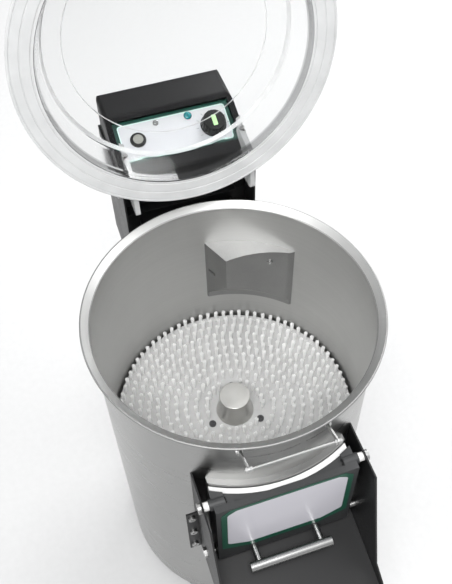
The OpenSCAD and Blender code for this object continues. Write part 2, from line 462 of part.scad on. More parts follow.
// ---------- control box ----------
module box_side() polygon([[167,RZ+63],[169,RZ+61],[291,RZ+61],[293,RZ+63],[293,RZ+99.4],[292.4,RZ+102.5],[290.7,RZ+105.1],[288.1,RZ+106.8],[285,RZ+107.4],[246.6,RZ+107.4],[242.2,RZ+106.5],[238.6,RZ+104.6],[173,RZ+77.4],[169.6,RZ+75.6],[167.6,RZ+73],[167,RZ+70]]);
module box_inner() polygon([[169.5,RZ+60],[169.5,RZ+71],[173,RZ+74.6],[239.4,RZ+102.1],[243,RZ+103.8],[284.5,RZ+104.4],[290.5,RZ+99],[290.5,RZ+60]]);
module box_round() intersection() {
  translate([-80,0,0]) rotate([90,0,90]) linear_extrude(160) box_side();
  translate([0,160,RZ+40]) slab_y(160, 67.4, 140, 8);
  translate([0,0,RZ+50]) linear_extrude(70) {
    translate([-80,150]) square([160,135]);
    translate([-72,150]) square([144,143]);
    for (x=[-72,72]) translate([x,285]) circle(r=8, $fn=64);
  }
}
module panel_frame(s0, s1, hw, d0, d1) // slab lying on the sloping face: s down the slope, d along its normal
  translate([0,PY0,PZ0]) rotate([PA,0,0]) translate([-hw,-s1,d0]) cube([2*hw, s1-s0, d1-d0]);
module control_box_shell() color(black) difference() {
  box_round();
  translate([-76,0,0]) rotate([90,0,90]) linear_extrude(152) box_inner();
  panel_frame(-3, 55, 72.5, -0.2, 12);
  panel_frame(2, 50, 66, -12, 2);
}
module control_panel() color([0.9,0.91,0.92]) difference() {
  union() { panel_frame(-2.8, 54.8, 72.3, -2.4, -0.2); panel_frame(0, 52, 70, -0.2, 0); }
  translate([0,PY0,PZ0]) rotate([PA,0,0]) {
    translate([-46.5,-24.5,-10]) cylinder(r=8.05, h=20, $fn=48);
    translate([47,-27.5,-10]) cylinder(r=3.3, h=20, $fn=48);
    translate([-20.2,-7.7,-10]) cylinder(r=2.8, h=20, $fn=48);
    translate([20.2,-7.7,-10]) cylinder(r=4.1, h=20, $fn=48);
  }
}
module on_panel(x, s) translate([0,PY0,PZ0]) rotate([PA,0,0]) translate([x,-s,0]) children();
module timer_knob() color([0.06,0.06,0.065]) on_panel(47,27.5) rotate([0,0,-knob_turn]) {
  difference() {
    union() {
      rotate_extrude($fn=96) polygon([[0,1],[16,1],[16,3.2],[14.2,4.2],[13.4,13.8],[12.2,15],[0,15]]);
      for (a=[0:knob_flutes-1]) rotate([0,0,a*360/knob_flutes]) translate([13.9,0,2]) cylinder(r=1.2, h=10.6, $fn=24);
    }
    translate([0,0,-1]) cylinder(r=3, h=12, $fn=48);
    translate([-2.9,-8,14.2]) cube([5.8,14.6,3]);
  }
  translate([0,0,-14]) cylinder(r=3, h=24.9, $fn=48);
}
module knob_pointer() color([0.62,0.85,0.5]) on_panel(47,27.5) rotate([0,0,-knob_turn]) translate([-2.8,-7.9,14.2]) cube([5.6,14.4,1.2]);
module timer_body() color([0.2,0.2,0.22]) on_panel(47,27.5) difference() {
  translate([-17,-16,-20]) cube([34,29,17.4]);
  translate([0,0,-15]) cylinder(r=3.1, h=20, $fn=48);
}
module push_button() color([0.75,0.75,0.75]) on_panel(-46.5,24.5) {
  difference() { translate([0,0,-1]) cylinder(r=6.2, h=4.4, $fn=48); translate([0,0,2.8]) tube(4.6, 3.4, 2, 48); }
  translate([0,0,-12]) cylinder(r=3, h=11.01, $fn=32);
}
// collar of the push button with the switch block under the panel
module button_bezel() color([0.2,0.2,0.21]) on_panel(-46.5,24.5) difference() {
  union() { rotate_extrude($fn=72) polygon([[0,0],[9.8,0],[9.8,0.9],[8.6,1.5],[8.2,3.4],[0,3.4]]); translate([0,0,-8]) cylinder(r=8, h=8.01, $fn=48); translate([-9,-9,-16]) cube([18,18,8.01]); }
  translate([0,0,-14]) cylinder(r=6.3, h=30, $fn=48);
}
module lamp(r) { translate([0,0,-14]) cylinder(r=r-0.9, h=14.01, $fn=48); cylinder(r=r, h=1, $fn=48); intersection() { translate([0,0,1-r*0.62]) sphere(r=r*1.03, $fn=48); translate([-6,-6,0.99]) cube([12,12,8]); } }
module lamp_clear() color([0.8,0.82,0.82,0.8]) on_panel(-20.2,7.7) lamp(3.7);
module lamp_teal() color([0.1,0.5,0.52]) on_panel(20.2,7.7) lamp(5);

drum_shell();
tank_floor();
base_plate();
rubber_feet();
foot_bolts();
bearing_housing();
shaft_bearings();
shaft_seal();
drive_shaft();
brush_carrier();
brush_plate();
brush_tufts();
hub_knob();
plate_screws();
driven_pulley();
motor_pulley();
drive_belt();
motor_body();
motor_plate();
drive_fixings();
run_capacitor();
wall_deflector();
water_inlet_pipe();
drain_pipe();
opening_frame();
chute_cheeks();
chute_floor();
body_screws();
door_body();
door_seal();
door_label();
door_pull();
door_bushes();
door_pivots();
catch_plungers();
bail_lugs();
bail_arms();
bail_rod();
bail_nuts();
lid_dome();
lid_arms();
lid_screws();
lid_front_catch();
hinge_pins();
hinge_bushes();
lid_stop_pads();
lid_sensor();
rear_housing();
housing_rear_cover();
cable_duct();
cable_gland();
control_box_shell();
control_panel();
timer_knob();
knob_pointer();
timer_body();
push_button();
button_bezel();
lamp_clear();
lamp_teal();
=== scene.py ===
import bpy
import bmesh
import json
import math
import random
from math import sin, cos, pi, radians, atan2, acos, tan, hypot
from mathutils import Vector, Matrix

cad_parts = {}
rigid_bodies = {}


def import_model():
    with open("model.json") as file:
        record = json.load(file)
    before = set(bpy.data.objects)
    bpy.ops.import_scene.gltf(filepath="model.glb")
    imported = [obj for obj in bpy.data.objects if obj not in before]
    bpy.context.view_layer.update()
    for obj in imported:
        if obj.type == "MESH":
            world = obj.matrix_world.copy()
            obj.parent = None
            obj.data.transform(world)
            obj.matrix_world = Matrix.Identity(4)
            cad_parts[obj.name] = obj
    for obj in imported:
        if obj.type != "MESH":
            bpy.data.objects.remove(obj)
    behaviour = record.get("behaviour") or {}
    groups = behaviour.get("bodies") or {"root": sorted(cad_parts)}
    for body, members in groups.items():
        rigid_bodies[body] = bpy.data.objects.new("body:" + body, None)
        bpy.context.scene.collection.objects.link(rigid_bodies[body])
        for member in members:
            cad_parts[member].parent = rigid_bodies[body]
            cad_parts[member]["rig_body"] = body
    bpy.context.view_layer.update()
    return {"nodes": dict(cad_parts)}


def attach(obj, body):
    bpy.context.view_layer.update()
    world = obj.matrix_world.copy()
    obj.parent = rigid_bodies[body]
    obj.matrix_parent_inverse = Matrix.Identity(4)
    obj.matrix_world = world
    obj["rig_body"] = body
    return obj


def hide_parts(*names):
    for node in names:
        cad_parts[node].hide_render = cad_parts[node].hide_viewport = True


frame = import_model()
nodes = frame["nodes"]

# all shapes below are written in millimetres in the part's own frame
MM = 0.001
RZ = 520.0
RW = 165.0
RI = 163.8
PZ = RZ - 230.0
FZ = PZ - 30.0
PY0, PZ0, PA = 236.0, RZ + 98.2, 22.6
HY, HZ = 176.0, RZ + 48.7
DY, DZ = -174.3, RZ - 97.0
BY, BZ = -162.5, RZ - 12.6


# ------------------------------------------------------------------ mesh helpers
def rounded(pts, r, n=6, closed=True):
    """A 2-D outline with its corners turned into arcs; r is one radius or one per corner."""
    out = []
    count = len(pts)
    for i in range(count):
        b = Vector(pts[i][:2])
        ri = r[i] if isinstance(r, (list, tuple)) else r
        if ri <= 0 or (not closed and i in (0, count - 1)):
            out.append((b.x, b.y))
            continue
        a, c = Vector(pts[i - 1][:2]), Vector(pts[(i + 1) % count][:2])
        u, v = (a - b).normalized(), (c - b).normalized()
        ang = acos(max(-1.0, min(1.0, u.dot(v))))
        if ang > pi - 0.03 or ang < 0.02:
            out.append((b.x, b.y))
            continue
        t = min(ri / tan(ang / 2), 0.48 * (a - b).length, 0.48 * (c - b).length)
        rr = t * tan(ang / 2)
        cen = b + (u + v).normalized() * (rr / sin(ang / 2))
        s, e = b + u * t - cen, b + v * t - cen
        a0, a1 = atan2(s.y, s.x), atan2(e.y, e.x)
        d = (a1 - a0 + pi) % (2 * pi) - pi
        out += [(cen.x + rr * cos(a0 + d * k / n), cen.y + rr * sin(a0 + d * k / n)) for k in range(n + 1)]
    return out


def arc(cx, cy, r, a0, a1, n):
    return [(cx + r * cos(radians(a0 + (a1 - a0) * k / n)), cy + r * sin(radians(a0 + (a1 - a0) * k / n))) for k in range(n + 1)]


def lathe_bm(prof, segs=128, matrix=None):
    """A turned body from a closed loop of (radius, height) points."""
    bm = bmesh.new()
    rings = []
    for r, z in prof:
        if r < 1e-6:
            rings.append([bm.verts.new((0, 0, z))])
        else:
            rings.append([bm.verts.new((r * cos(2 * pi * k / segs), r * sin(2 * pi * k / segs), z)) for k in range(segs)])
    for i in range(len(rings)):
        a, b = rings[i], rings[(i + 1) % len(rings)]
        if len(a) == 1 and len(b) == 1:
            continue
        for k in range(segs):
            q = (k + 1) % segs
            if len(a) == 1:
                bm.faces.new((a[0], b[k], b[q]))
            elif len(b) == 1:
                bm.faces.new((a[k], b[0], a[q]))
            else:
                bm.faces.new((a[k], b[k], b[q], a[q]))
    bmesh.ops.recalc_face_normals(bm, faces=bm.faces)
    if matrix is not None:
        bm.transform(matrix)
    return bm


def prism_bm(pts, z0, z1, matrix=None):
    bm = bmesh.new()
    lo = [bm.verts.new((x, y, z0)) for x, y in pts]
    hi = [bm.verts.new((x, y, z1)) for x, y in pts]
    bm.faces.new(lo[::-1])
    bm.faces.new(hi)
    n = len(pts)
    for i in range(n):
        j = (i + 1) % n
        bm.faces.new((lo[i], lo[j], hi[j], hi[i]))
    bmesh.ops.recalc_face_normals(bm, faces=bm.faces)
    if matrix is not None:
        bm.transform(matrix)
    return bm


def rect(x0, y0, x1, y1):
    return [(x0, y0), (x1, y0), (x1, y1), (x0, y1)]


def circle_pts(cx, cy, r, n=48):
    return [(cx + r * cos(2 * pi * k / n), cy + r * sin(2 * pi * k / n)) for k in range(n)]


def to_object(bm, name, scale=True):
    if scale:
        bm.transform(Matrix.Scale(MM, 4))
    me = bpy.data.meshes.new(name)
    bm.to_mesh(me)
    bm.free()
    o = bpy.data.objects.new(name, me)
    bpy.context.scene.collection.objects.link(o)
    return o


def bake_modifiers(o):
    dg = bpy.context.evaluated_depsgraph_get()
    dg.update()
    me = bpy.data.meshes.new_from_object(o.evaluated_get(dg), preserve_all_data_layers=True, depsgraph=dg)
    o.modifiers.clear()
    old = o.data
    o.data = me
    if old.users == 0:
        bpy.data.meshes.remove(old)
    return o


def boolean(o, bms, op="DIFFERENCE"):
    """Cuts (or joins) one or more meshes and keeps the result."""
    for i, bm in enumerate(bms):
        tool = to_object(bm, "tool")
        m = o.modifiers.new("cut", "BOOLEAN")
        m.object = tool
        m.operation = op
        m.solver = "EXACT"
        bpy.context.view_layer.update()
        bake_modifiers(o)
        bpy.data.objects.remove(tool)
    return o


def smooth(o, angle=38):
    o.data.shade_smooth()
    o.data.set_sharp_from_angle(angle=radians(angle))


def soften(o, width, segs=3, angle=32, weighted=True, sharp=38):
    """Rounds the edges of a piece, as a real moulded, cast or deburred part has them."""
    if width > 0:
        m = o.modifiers.new("edges", "BEVEL")
        m.width = width * MM
        m.segments = segs
        m.limit_method = "ANGLE"
        m.angle_limit = radians(angle)
        m.use_clamp_overlap = True
        m.profile = 0.5
        bake_modifiers(o)
    smooth(o, sharp)
    if weighted:
        w = o.modifiers.new("normals", "WEIGHTED_NORMAL")
        w.keep_sharp = True
        w.weight = 60
        bake_modifiers(o)
    return o


def clean_bm(bm, dist=1e-5, flat=0.4):
    bmesh.ops.remove_doubles(bm, verts=bm.verts, dist=dist)
    bmesh.ops.dissolve_degenerate(bm, edges=bm.edges, dist=dist)
    bmesh.ops.dissolve_limit(bm, angle_limit=radians(flat), verts=bm.verts, edges=bm.edges, use_dissolve_boundaries=False)


def place(o, body, slot, mat, *replaced):
    o.data.materials.clear()
    for m in (mat if isinstance(mat, (list, tuple)) else [mat]):
        o.data.materials.append(m)
    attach(o, body)
    if replaced:
        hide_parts(*replaced)
    return o


def refine(node, slot, mat, width=0.4, segs=2, angle=30, sharp=38, weighted=True, flat=0.4):
    """A detailed copy of a CAD node, with its edges rounded; it stands for the node."""
    src = nodes[node]
    bm = bmesh.new()
    bm.from_mesh(src.data)
    clean_bm(bm, flat=flat)
    o = to_object(bm, node + "_v", scale=False)
    soften(o, width, segs, angle, weighted, sharp)
    return place(o, src["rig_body"], slot, mat, node)


def paint(node, mat):
    """Gives a CAD node that keeps its own mesh a better material."""
    o = nodes[node]
    o.data.materials.clear()
    o.data.materials.append(mat)


# ------------------------------------------------------------------ material helpers
class Finish:
    def __init__(self, name, **values):
        self.mat = bpy.data.materials.new(name)
        self.mat.use_nodes = True
        self.nt = self.mat.node_tree
        self.nt.nodes.clear()
        out = self.nt.nodes.new("ShaderNodeOutputMaterial")
        self.p = self.nt.nodes.new("ShaderNodeBsdfPrincipled")
        self.nt.links.new(self.p.outputs[0], out.inputs[0])
        self.co = None
        self.base_vec = None
        self.set(**values)

    def set(self, **values):
        names = dict(base="Base Color", metal="Metallic", rough="Roughness", ior="IOR", coat="Coat Weight", coat_rough="Coat Roughness",
                     aniso="Anisotropic", trans="Transmission Weight", spec="Specular IOR Level", sheen="Sheen Weight", sss="Subsurface Weight",
                     sss_scale="Subsurface Scale", emit="Emission Color", glow="Emission Strength", tint="Specular Tint")
        for k, v in values.items():
            s = self.p.inputs[names[k]]
            s.default_value = (*v, 1.0) if isinstance(v, tuple) and len(v) == 3 and len(s.default_value) == 4 else v
        return self

    def node(self, kind, **props):
        n = self.nt.nodes.new(kind)
        for k, v in props.items():
            setattr(n, k, v)
        return n

    def link(self, a, b):
        self.nt.links.new(a, b)

    def coords(self, scale=(1, 1, 1), shift=(0, 0, 0), turn=(0, 0, 0)):
        if self.co is None:
            self.co = self.node("ShaderNodeTexCoord")
        m = self.node("ShaderNodeMapping")
        m.inputs["Scale"].default_value = scale
        m.inputs["Location"].default_value = shift
        m.inputs["Rotation"].default_value = turn
        self.link(self.base_vec or self.co.outputs["Object"], m.inputs["Vector"])
        return m.outputs[0]

    def wrap_coords(self):
        """Patterns then run round the axis and keep their spacing on a wall and on a flared rim alike."""
        r = self.from_axis()
        s = self.node("ShaderNodeSeparateXYZ")
        self.link(self.co.outputs["Object"], s.inputs[0])
        c = self.node("ShaderNodeCombineXYZ")
        self.link(s.outputs[0], c.inputs[0])
        self.link(s.outputs[1], c.inputs[1])
        self.link(self.math("ADD", s.outputs[2], r), c.inputs[2])
        self.base_vec = c.outputs[0]

    def noise(self, scale=(1, 1, 1), detail=2.0, rough=0.5, shift=(0, 0, 0), distort=0.0, turn=(0, 0, 0)):
        n = self.node("ShaderNodeTexNoise")
        n.inputs["Scale"].default_value = 1.0
        n.inputs["Detail"].default_value = detail
        n.inputs["Roughness"].default_value = rough
        n.inputs["Distortion"].default_value = distort
        self.link(self.coords(scale, shift, turn), n.inputs["Vector"])
        return n.outputs[0]

    def cells(self, scale=(1, 1, 1), feature="F1"):
        n = self.node("ShaderNodeTexVoronoi")
        n.feature = feature
        n.inputs["Scale"].default_value = 1.0
        self.link(self.coords(scale), n.inputs["Vector"])
        return n.outputs["Distance"]

    def math(self, op, a, b=0.0, c=0.0):
        n = self.node("ShaderNodeMath", operation=op)
        for i, v in enumerate((a, b, c)):
            if isinstance(v, (int, float)):
                n.inputs[i].default_value = v
            else:
                self.link(v, n.inputs[i])
        return n.outputs[0]

    def span(self, fac, lo, hi, a=0.0, b=1.0):
        """fac from lo..hi onto a..b, clamped."""
        n = self.node("ShaderNodeMapRange")
        n.inputs[1].default_value, n.inputs[2].default_value = lo, hi
        n.inputs[3].default_value, n.inputs[4].default_value = a, b
        self.link(fac, n.inputs[0])
        return n.outputs[0]

    def ramp(self, fac, stops, interp="LINEAR"):
        n = self.node("ShaderNodeValToRGB")
        n.color_ramp.interpolation = interp
        e = n.color_ramp.elements
        while len(e) < len(stops):
            e.new(0.5)
        for el, (pos, col) in zip(e, stops):
            el.position = pos
            el.color = (*col, 1.0)
        self.link(fac, n.inputs[0])
        return n.outputs[0]

    def mix(self, fac, a, b):
        n = self.node("ShaderNodeMix", data_type="RGBA")
        for sock, v in ((n.inputs[0], fac), (n.inputs[6], a), (n.inputs[7], b)):
            if isinstance(v, (int, float)):
                sock.default_value = v
            elif isinstance(v, tuple):
                sock.default_value = (*v, 1.0)
            else:
                self.link(v, sock)
        return n.outputs[2]

    def bump(self, height, dist=0.1, strength=1.0, normal=None):
        n = self.node("ShaderNodeBump")
        n.inputs["Strength"].default_value = strength
        n.inputs["Distance"].default_value = dist * MM
        self.link(height, n.inputs["Height"])
        if normal is not None:
            self.link(normal, n.inputs["Normal"])
        return n.outputs[0]

    def out(self, color=None, rough=None, normal=None, tangent=None):
        for name, v in (("Base Color", color), ("Roughness", rough), ("Normal", normal), ("Tangent", tangent)):
            if v is not None:
                self.link(v, self.p.inputs[name])
        return self.mat

    def around_z(self):
        """Tangent that runs round the drum axis."""
        if self.co is None:
            self.co = self.node("ShaderNodeTexCoord")
        s = self.node("ShaderNodeSeparateXYZ")
        self.link(self.co.outputs["Object"], s.inputs[0])
        c = self.node("ShaderNodeCombineXYZ")
        self.link(self.math("MULTIPLY", s.outputs[1], -1.0), c.inputs[0])
        self.link(s.outputs[0], c.inputs[1])
        t = self.node("ShaderNodeVectorTransform", vector_type="VECTOR", convert_from="OBJECT", convert_to="WORLD")
        self.link(c.outputs[0], t.inputs[0])
        return t.outputs[0]

    def from_axis(self):
        """Distance from the drum axis."""
        if self.co is None:
            self.co = self.node("ShaderNodeTexCoord")
        m = self.node("ShaderNodeVectorMath", operation="MULTIPLY")
        m.inputs[1].default_value = (1, 1, 0)
        self.link(self.co.outputs["Object"], m.inputs[0])
        l = self.node("ShaderNodeVectorMath", operation="LENGTH")
        self.link(m.outputs[0], l.inputs[0])
        return l.outputs["Value"]


def brushed(name, lines, tone=0.6, rough=0.3, aniso=0.0, round_z=False, warm=0.0, patch=(9, 9, 5), contrast=0.10, bump=0.25, marks_amount=1.0):
    """Brushed or ground stainless: fine lines, soft cloudy patches, faint wipe marks."""
    f = Finish(name, metal=1.0, aniso=aniso)
    if round_z:
        f.wrap_coords()
    fine = f.noise(lines, 3.0, 0.65)
    mid = f.noise(tuple(v * 0.22 for v in lines), 2.0, 0.5, shift=(3.1, 1.7, 0.4))
    cloud = f.noise(patch, 3.0, 0.55, shift=(0.7, 2.2, 5.1))
    marks = f.noise(tuple(v * 7 for v in patch), 4.0, 0.6, shift=(4.0, 0.3, 1.3))
    blend = f.math("ADD", f.math("MULTIPLY", fine, 0.5), f.math("MULTIPLY", mid, 0.5))
    lo, hi = tone * (1 - contrast), tone * (1 + contrast)
    col = f.ramp(f.span(blend, 0.3, 0.7), [(0.0, (lo, lo, lo * (0.985 - warm))), (1.0, (hi, hi, hi * (0.985 - warm)))])
    shade = f.ramp(f.span(cloud, 0.3, 0.7), [(0.0, (0.93, 0.93, 0.93)), (1.0, (1.0, 1.0, 1.0))])
    m = f.node("ShaderNodeMix", data_type="RGBA", blend_type="MULTIPLY")
    m.inputs[0].default_value = 1.0
    f.link(col, m.inputs[6])
    f.link(shade, m.inputs[7])
    r = f.math("ADD", f.span(blend, 0.3, 0.7, rough - 0.06, rough + 0.08), f.span(marks, 0.35, 0.7, -0.025 * marks_amount, 0.05 * marks_amount))
    n = f.bump(blend, 0.02, bump)
    return f.out(m.outputs[2], r, n, f.around_z() if round_z else None)


def moulded(name, base, rough=0.45, grain=900, depth=0.05, spec=0.5, spread=0.12, metal=0.0, coat=0.0, coat_rough=0.2, wear=0.0):
    """Moulded, cast or powder-coated surface: fine grain, faint shade changes, slight sheen changes."""
    f = Finish(name, metal=metal, spec=spec, coat=coat, coat_rough=coat_rough)
    g = f.noise((grain, grain, grain), 3.0, 0.6)
    big = f.noise((14, 14, 14), 3.0, 0.5, shift=(1.2, 0.4, 2.2))
    a = tuple(max(0.0, c * (1 - spread)) for c in base)
    b = tuple(min(1.0, c * (1 + spread)) for c in base)
    col = f.ramp(f.span(f.math("ADD", f.math("MULTIPLY", g, 0.5), f.math("MULTIPLY", big, 0.5)), 0.3, 0.7), [(0.0, a), (1.0, b)])
    if wear > 0:
        rub = f.noise((70, 70, 70), 5.0, 0.7, shift=(8.0, 3.0, 1.0))
        col = f.mix(f.span(rub, 0.62, 0.80, 0.0, wear), col, tuple(min(1.0, c * 1.6 + 0.03) for c in base))
    r = f.math("ADD", f.span(g, 0.3, 0.7, rough - 0.05, rough + 0.06), f.span(big, 0.3, 0.7, -0.03, 0.04))
    return f.out(col, r, f.bump(g, depth, 0.6))


# ------------------------------------------------------------------ finishes
drum_steel = brushed("drum_steel", (5, 5, 900), tone=0.64, rough=0.42, aniso=0.3, round_z=True, contrast=0.05, bump=0.05, marks_amount=0.2, patch=(5, 5, 3))
# The outer wall, the hem and the rim flare get darker copies of the drum sheet's finish (tones 0.38, 0.29 and 0.53
# against 0.64 inside): painted shade.
outer_steel_painted_shade = brushed("outer_steel_painted_shade", (5, 5, 900), tone=0.38, rough=0.30, aniso=0.4, round_z=True, contrast=0.06, bump=0.06, marks_amount=0.4, patch=(7, 7, 3))
flat_steel = brushed("flat_steel", (14, 1300, 1300), tone=0.55, rough=0.33)
hem_steel_painted_shade = brushed("hem_steel_painted_shade", (5, 5, 900), tone=0.29, rough=0.52, round_z=True, contrast=0.05, bump=0.04, marks_amount=0.2)
rim_steel_painted_shade = brushed("rim_steel_painted_shade", (5, 5, 900), tone=0.53, rough=0.36, aniso=0.3, round_z=True, contrast=0.05, bump=0.05, marks_amount=0.2)
# The opening frame's stainless is toned down to 0.28: painted shade that damps its highlight.
frame_steel_painted_shade = brushed("frame_steel_painted_shade", (5, 5, 900), tone=0.28, rough=0.36, contrast=0.05, bump=0.06, marks_amount=0.25)
lug_steel = brushed("lug_steel", (900, 16, 900), tone=0.55, rough=0.3)
zinc = brushed("zinc_plate", (260, 260, 260), tone=0.52, rough=0.34, patch=(80, 80, 80))
bright = brushed("bright_steel", (24, 1800, 1800), tone=0.40, rough=0.30, patch=(60, 60, 60))
bearing = brushed("bearing_steel", (300, 300, 900), tone=0.62, rough=0.2, patch=(60, 60, 60))
casting = moulded("grey_casting", (0.17, 0.175, 0.18), rough=0.55, grain=520, depth=0.12, metal=0.55, wear=0.3)
motor_paint = moulded("motor_paint", (0.085, 0.09, 0.10), rough=0.42, grain=420, depth=0.08, wear=0.2)
rubber = moulded("foot_rubber", (0.018, 0.018, 0.018), rough=0.72, grain=1300, depth=0.05, spec=0.3, wear=0.25)
seal_rubber = moulded("seal_rubber", (0.10, 0.025, 0.018), rough=0.6, grain=1100, depth=0.03)
belt_rubber = moulded("belt_rubber", (0.022, 0.022, 0.022), rough=0.8, grain=1500, depth=0.08)
cap_plastic = moulded("capacitor_plastic", (0.62, 0.62, 0.58), rough=0.35, grain=700, depth=0.02)
black_sheet = moulded("black_sheet", (0.009, 0.009, 0.0095), rough=0.40, grain=620, depth=0.04, spec=0.28, wear=0.03)
black_plastic = moulded("black_plastic", (0.0055, 0.0055, 0.006), rough=0.38, grain=1500, depth=0.05, spec=0.18)
knob_plastic = moulded("knob_plastic", (0.007, 0.007, 0.0075), rough=0.34, grain=1400, depth=0.02, spec=0.4)
dark_plastic = moulded("dark_plastic", (0.014, 0.014, 0.0145), rough=0.42, grain=1300, depth=0.03, spec=0.4)
door_grey = moulded("door_grey", (0.029, 0.030, 0.031), rough=0.48, grain=800, depth=0.07, wear=0.10)
black_screw = moulded("black_screws", (0.07, 0.07, 0.073), rough=0.35, grain=1200, depth=0.02, metal=0.6, wear=0.2)
brass = brushed("brass_pipe", (120, 120, 500), tone=0.55, rough=0.3, warm=0.45, patch=(60, 60, 60))
white_plastic = moulded("white_plastic", (0.72, 0.72, 0.70), rough=0.42, grain=800, depth=0.03, spread=0.04)
seal_white = moulded("seal_white", (0.72, 0.72, 0.71), rough=0.5, grain=700, depth=0.04, spread=0.06)
pointer_green = moulded("pointer_green", (0.52, 0.86, 0.40), rough=0.4, grain=700, depth=0.01, spread=0.03)
tick_grey = moulded("tick_grey", (0.30, 0.34, 0.33), rough=0.4, grain=700, depth=0.01, spread=0.03)


def plate_finish():
    f = Finish("brush_plate_nylon", spec=0.45, sss=0.0)
    g = f.noise((700, 700, 700), 3.0, 0.6)
    wet = f.noise((26, 26, 26), 4.0, 0.6, shift=(2.0, 5.0, 0.0))
    rings = f.math("SINE", f.math("MULTIPLY", f.from_axis(), 2 * pi / 0.0031))
    # The plate's white nylon is toned down to 0.43–0.51, far below the tufts: painted shade between the tufts.
    col = f.ramp(f.span(wet, 0.3, 0.7), [(0.0, (0.43, 0.43, 0.427)), (1.0, (0.51, 0.51, 0.505))])
    return f.out(col, f.span(wet, 0.3, 0.7, 0.34, 0.5), f.bump(rings, 0.03, 0.5, f.bump(g, 0.03, 0.5)))


def tuft_finish():
    """White bristle: paler tips, darker towards the root as painted shade low between the tufts, small changes from
    tuft to tuft.
    """
    f = Finish("bristle_nylon", spec=0.5, sheen=0.15)
    f.coords()
    s = f.node("ShaderNodeSeparateXYZ")
    f.link(f.co.outputs["Object"], s.inputs[0])
    up = f.span(s.outputs[2], PZ * MM, (PZ + 18.5) * MM)
    patch = f.noise((60, 60, 20), 3.0, 0.6)
    # Darker towards the root: painted shade between the tufts.
    col = f.ramp(up, [(0.0, (0.84, 0.84, 0.835)), (0.3, (0.93, 0.93, 0.925)), (0.85, (0.95, 0.95, 0.945)), (1.0, (0.95, 0.95, 0.945))])
    shade = f.ramp(f.span(patch, 0.35, 0.7), [(0.0, (0.95, 0.95, 0.945)), (1.0, (1.0, 1.0, 1.0))])
    m = f.node("ShaderNodeMix", data_type="RGBA", blend_type="MULTIPLY")
    m.inputs[0].default_value = 1.0
    f.link(col, m.inputs[6])
    f.link(shade, m.inputs[7])
    fine = f.noise((2600, 2600, 160), 2.0, 0.5)
    return f.out(m.outputs[2], f.span(fine, 0.3, 0.7, 0.42, 0.56), f.bump(fine, 0.03, 0.4))


def hub_finish():
    f = Finish("hub_satin", metal=1.0, aniso=0.35)
    r = f.from_axis()
    s = f.node("ShaderNodeSeparateXYZ")
    f.link(f.co.outputs["Object"], s.inputs[0])
    jit = f.noise((35, 35, 900), 3.0, 0.6)
    rings = f.math("SINE", f.math("MULTIPLY", f.math("ADD", r, f.math("MULTIPLY", s.outputs[2], 1.0)), 2 * pi / 0.00055))
    h = f.math("ADD", f.math("MULTIPLY", rings, 0.5), jit)
    cloud = f.noise((40, 40, 40), 3.0, 0.5)
    col = f.ramp(f.span(cloud, 0.3, 0.7), [(0.0, (0.50, 0.495, 0.475)), (1.0, (0.56, 0.555, 0.535))])
    return f.out(col, f.span(jit, 0.3, 0.7, 0.33, 0.41), f.bump(h, 0.02, 0.4), f.around_z())


def deflector_finish():
    f = Finish("cast_aluminium", metal=1.0)
    g = f.noise((900, 900, 900), 4.0, 0.65)
    v = f.cells((650, 650, 650))
    big = f.noise((22, 22, 22), 3.0, 0.5)
    col = f.ramp(f.span(f.math("ADD", f.math("MULTIPLY", g, 0.6), f.math("MULTIPLY", big, 0.4)), 0.35, 0.65),
                 [(0.0, (0.33, 0.33, 0.327)), (1.0, (0.40, 0.40, 0.396))])
    return f.out(col, f.span(g, 0.3, 0.7, 0.44, 0.54), f.bump(g, 0.05, 0.4, f.bump(v, 0.02, 0.3)))


def clear_finish(name="clear_lid", rough=0.02, tint=(0.985, 0.99, 0.99), ior=1.49):
    f = Finish(name, base=tint, trans=1.0, ior=ior, rough=rough)
    n = f.noise((11, 11, 11), 2.0, 0.5)
    return f.out(None, None, f.bump(n, 0.25, 0.25))


def film(name, base, rough=0.32, coat=0.35, fine=900):
    """Printed film under a satin lacquer."""
    f = Finish(name, spec=0.5, coat=coat, coat_rough=0.22)
    g = f.noise((fine, fine, fine), 2.0, 0.5)
    big = f.noise((18, 18, 18), 2.0, 0.5)
    a = tuple(c * 0.965 for c in base)
    col = f.ramp(f.span(big, 0.3, 0.7), [(0.0, a), (1.0, base)])
    return f.out(col, f.span(g, 0.3, 0.7, rough - 0.03, rough + 0.05), f.bump(g, 0.012, 0.5))


def lamp_finish(name, base, glow, trans=0.75):
    f = Finish(name, rough=0.08, ior=1.5, trans=trans, emit=base, glow=glow, coat=0.3, coat_rough=0.05)
    g = f.noise((500, 500, 500), 2.0, 0.5)
    a = tuple(c * 0.85 for c in base)
    return f.out(f.ramp(f.span(g, 0.3, 0.7), [(0.0, a), (1.0, base)]), None, f.bump(g, 0.03, 0.3))


plate_mat = plate_finish()
tuft_mat = tuft_finish()
hub_mat = hub_finish()
deflector_mat = deflector_finish()
lid_mat = clear_finish(tint=(0.88, 0.885, 0.885), ior=1.09)
wall_mat = clear_finish("lid_wall", 0.14, (0.90, 0.905, 0.905), 1.19)
# Dark grey tint for the lower band of the lid wall: painted shade.
root_shade_mat = clear_finish("lid_root_painted_shade", 0.06, (0.42, 0.425, 0.425), 1.45)



def flange_finish():
    """Milky part of the clear moulding."""
    f = Finish("lid_flange", trans=0.12, ior=1.49, rough=0.22, coat=0.3, coat_rough=0.1)
    n = f.noise((30, 30, 30), 3.0, 0.5)
    col = f.ramp(f.span(n, 0.3, 0.7), [(0.0, (0.55, 0.555, 0.555)), (1.0, (0.64, 0.645, 0.645))])
    return f.out(col, None, f.bump(n, 0.15, 0.3))


flange_mat = flange_finish()


